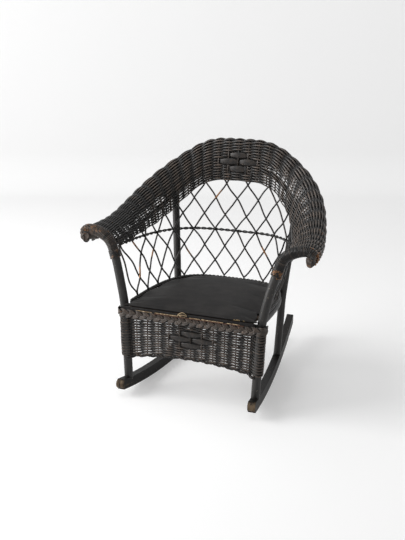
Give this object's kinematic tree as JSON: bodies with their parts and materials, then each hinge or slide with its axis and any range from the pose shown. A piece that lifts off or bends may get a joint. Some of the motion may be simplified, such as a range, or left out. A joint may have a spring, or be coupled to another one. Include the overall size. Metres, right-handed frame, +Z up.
{
  "type": "childs rocking chair",
  "caption": "Child's wicker rocking chair: woven roll over arms and back, open diamond reed lattice, padded seat, woven skirt and curved wood rockers.",
  "frame": {"origin": "middle of the overall box, on the floor under the rockers", "axes": "+Z up, the chair faces -Y, +X to the right of someone looking at its front"},
  "size_m": [0.6074, 0.546, 0.6109],
  "materials": {
    "painted_wood": "worn black paint on wood",
    "painted_reed": "worn black paint on reed",
    "bare_wood": "bare softwood",
    "oilcloth": "black oilcloth, dull and worn",
    "stuffing": "fibre stuffing"
  },
  "bodies": {
    "root": {"arm_roll_left": "painted_reed", "arm_roll_right": "painted_reed", "arm_wrap_left": "painted_reed", "arm_wrap_right": "painted_reed", "back_roll": "painted_reed", "back_splint_1": "painted_reed", "back_splint_2": "painted_reed", "back_splint_3": "painted_reed", "back_splint_4": "painted_reed", "front_post_left": "painted_wood", "front_post_right": "painted_wood", "lattice_back": "painted_reed", "lattice_left": "painted_reed", "lattice_right": "painted_reed", "rear_post_left": "painted_wood", "rear_post_right": "painted_wood", "rocker_left": "painted_wood", "rocker_right": "painted_wood", "roll_edge_braid": "painted_reed", "roll_hoop": "painted_wood", "seat_bent_rail": "painted_wood", "seat_board": "bare_wood", "seat_border": "painted_reed", "seat_cover": "oilcloth", "seat_front_rail": "painted_wood", "seat_slat_1": "bare_wood", "seat_slat_2": "bare_wood", "seat_stuffing": "stuffing", "skirt_braid": "painted_reed", "skirt_edge": "painted_reed", "skirt_splint_1": "painted_reed", "skirt_splint_2": "painted_reed", "skirt_splint_3": "painted_reed", "skirt_splint_4": "painted_reed", "skirt_turns_left": "painted_reed", "skirt_turns_right": "painted_reed", "skirt_weave": "painted_reed", "twined_reed_inner": "painted_reed", "twined_reed_outer": "painted_reed"}
  },
  "joints": []
}
